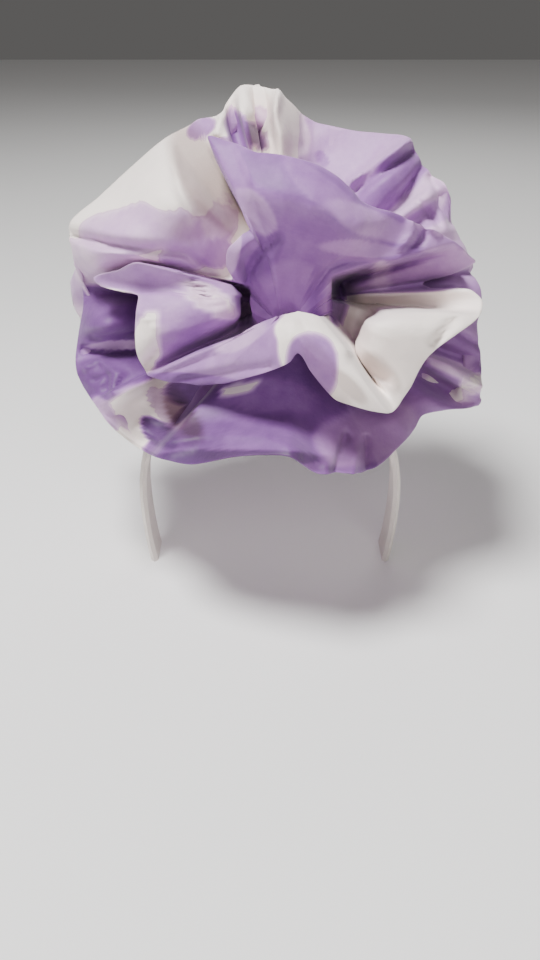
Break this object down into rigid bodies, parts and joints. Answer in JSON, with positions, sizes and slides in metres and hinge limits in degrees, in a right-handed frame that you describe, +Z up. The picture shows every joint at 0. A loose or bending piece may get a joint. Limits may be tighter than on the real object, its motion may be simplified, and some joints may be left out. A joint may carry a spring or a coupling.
{
  "type": "ruffle headband",
  "caption": "Headband with a big gathered cloth ruffle folded into a two-tier rosette over a plain cloth-covered band.",
  "frame": {"origin": "inner crown point of the band, where it rests on the top of the head", "axes": "+Z up, the wearer faces -Y, +X to the wearer's left"},
  "size_m": [0.2481, 0.2283, 0.2645],
  "materials": {
    "band_cloth": "plain cream cotton pulled over the band",
    "dyed_cotton": "crisp cream cotton with lavender and purple watercolour dye, soft sheen"
  },
  "bodies": {
    "root": {"headband": "band_cloth", "ruffle": "dyed_cotton"}
  },
  "joints": []
}
